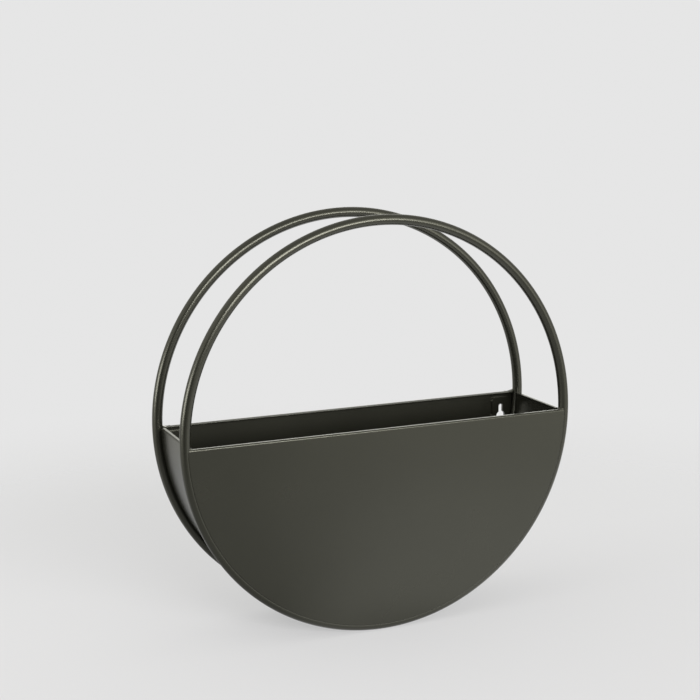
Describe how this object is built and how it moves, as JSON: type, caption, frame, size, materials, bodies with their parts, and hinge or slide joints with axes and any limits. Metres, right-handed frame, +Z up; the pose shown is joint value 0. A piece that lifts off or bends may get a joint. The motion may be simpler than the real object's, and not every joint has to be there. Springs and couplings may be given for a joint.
{
  "type": "wall planter",
  "caption": "Round metal wall planter: bar rings at front and back carry a half-round sheet trough, with keyholes in the back to hang it.",
  "frame": {"origin": "middle of the underside of the bounding box: midway between the rings, at the level they stand on", "axes": "+Z up, +Y towards the wall it hangs on, -Y the plain front, +X to the right seen from the front"},
  "size_m": [0.4, 0.102, 0.3999],
  "materials": {
    "powder_coated_steel": "satin powder coat, dark olive grey"
  },
  "bodies": {
    "root": {"front_ring": "powder_coated_steel", "back_ring": "powder_coated_steel", "front_panel": "powder_coated_steel", "back_panel": "powder_coated_steel", "curved_wall": "powder_coated_steel", "hanger_plate_left": "powder_coated_steel", "hanger_plate_right": "powder_coated_steel", "hanger_tacks_left": "powder_coated_steel", "hanger_tacks_right": "powder_coated_steel", "front_weld_left": "powder_coated_steel", "front_weld_right": "powder_coated_steel", "back_weld_left": "powder_coated_steel", "back_weld_right": "powder_coated_steel"}
  },
  "joints": []
}
